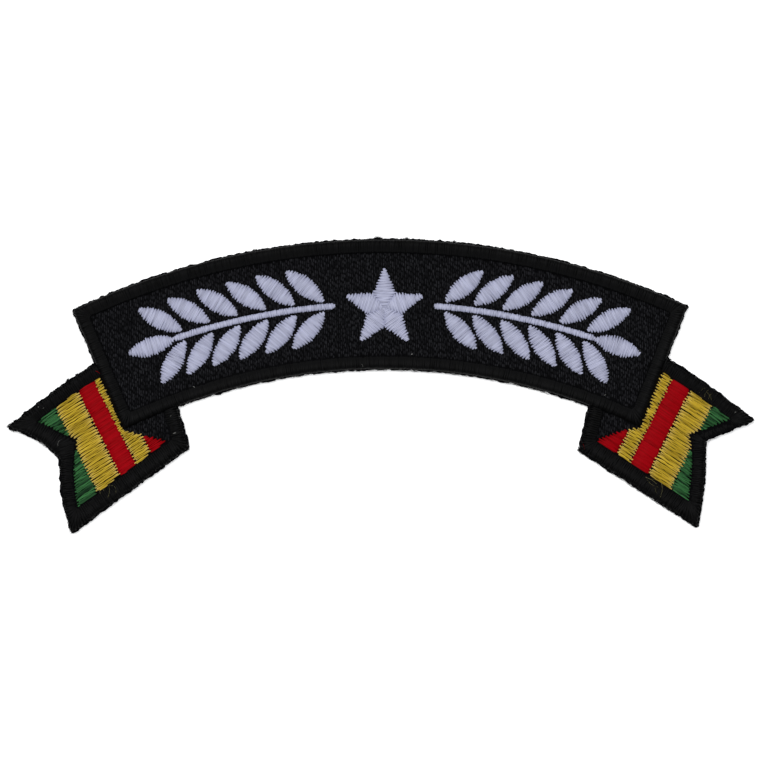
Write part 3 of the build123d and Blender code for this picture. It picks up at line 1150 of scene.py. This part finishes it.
def thread_rows(laid):
    """Loose threads that lie on the patch, from one pixel to another with a bow to their left."""
    rows = []
    for column, row, to_column, to_row, bow, width in laid:
        start, end = spot_at(column, row), spot_at(to_column, to_row)
        run = end - start
        aside = turned_left(run) / np.linalg.norm(run) * bow * pixel
        low, high = height_at(start), height_at(end)
        middle = height_at((start + end) / 2 + aside)
        lift = max(middle - (low + high) / 2, 0) + width * mm
        rows.append(((*start, low), (*run, high - low), (*aside, lift), width * mm))
    return rows


# The patch, piece by piece

body = next(iter(frame["bodies"]))
strand_group = strand_tree()
satin_stitches = satin_tree(strand_group)
twill_weave = weave_tree(strand_group)
loose_fibres = fibre_tree()
threads = {name: thread_material(name, *look) for name, look in thread_looks.items()}
cloth = cloth_material("Black twill cloth")

satin_pieces = []
outer, inner = outlines("banner_border")
stitch("banner_border", [loop_column(outer, inner)], border_satin, "black", "border_thread")
for node in ("left_tail_border", "right_tail_border"):
    column = open_column(outlines(node)[0], outer)
    stitch(node, [column], tail_border_satin, "black", "border_thread")
seats = np.concatenate([evenly(outlines(name)[0], rail_step) for name in nodes if "border" in name])
for node in [name for name in nodes if "stripe" in name]:
    colour = next(word for word in stripe_satin if word in node)
    satin = ragged_red_satin if "red_inner" in node else stripe_satin[colour]
    angle = stripe_angle if node.startswith("left") else -stripe_angle
    column = crossing_column(outlines(node)[0], angle, seats)
    stitch(node, [column], satin, colour, f"{colour}_thread")
arms = star_columns(outlines("centre_star")[0])
stitch("centre_star", arms, motif_satin, "white", "white_thread")
for node in [name for name in nodes if "leaf" in name or "stem" in name]:
    outline = outlines(node)[0]
    column = crossing_column(outline, own_angle(outline) + math.pi / 2)
    satin = stem_satin if "stem" in node else motif_satin
    stitch(node, [column], satin, "white", "white_thread")

cloth_outline = outlines("twill_ground")[0]
ground = cloth_mesh(cloth_outline)
stitched_area = placed("stitched_area", joined([name for name in nodes if name != "twill_ground"]))
weave = grown(placed("weave_field", ground.copy()), twill_weave, {
    **weave_look, "Size X": cloth_size.x, "Size Y": cloth_size.y + weave_look["Float period"],
    "Stitched": stitched_area, "Yarn": threads["twill"],
})
bpy.data.objects.remove(stitched_area)
ground.materials.append(cloth)
cloth_piece = finished("twill_cloth", ground, "twill", "twill_ground")
weave_piece = finished("twill_weave", weave, "twill")
bpy.context.view_layer.update()
edge = cut_edge(cloth_outline)
loose_pieces = [
    finished("edge_fuzz", fibres(fuzz_rows(*edge), "black", 5), "border_thread"),
    finished("backing_fuzz", fibres(backing_rows(*edge), "backing", 6), None),
]
for name, laid, thread, slot in (
        ("loose_yellow_threads", yellow_threads, "straw", "yellow_thread"),
        ("loose_red_threads", red_threads, "red", "red_thread"),
        ("lint_specks", lint_threads, "lint", None)):
    loose_pieces.append(entered(name, fibres(thread_rows(laid), thread, 7), slot))


# Table, light and camera

table = bpy.data.meshes.new("floor")
reach = floor_size / 2
corners = [(-reach, -reach, 0), (reach, -reach, 0), (reach, reach, 0), (-reach, reach, 0)]
table.from_pydata(corners, [], [(0, 1, 2, 3)])
table.materials.append(table_material("White table"))
placed("table", table)

world = bpy.data.worlds.new("Studio")
world.use_nodes = True
background = world.node_tree.nodes["Background"].inputs
background["Color"].default_value = (0.96, 0.98, 1, 1)
background["Strength"].default_value = dome_light
bpy.context.scene.world = world
bpy.context.scene.view_settings.view_transform = "Standard"

light = bpy.data.lights.new("Key light", "AREA")
light.size = key_size
light.energy = key_power
key = placed("Key light", light)
key.location = key_place
key.rotation_euler = (-Vector(key_place)).to_track_quat("-Z", "Y").to_euler()

camera = bpy.data.cameras.new("Camera")
camera.lens = 200
camera.sensor_width = 36
camera.clip_end = 10
distance = photo_pixels * pixel * camera.lens / camera.sensor_width
viewer = placed("Camera", camera)
viewer.location = (*spot_at(photo_pixels / 2, photo_pixels / 2), cloth_top + distance)
bpy.context.scene.camera = viewer
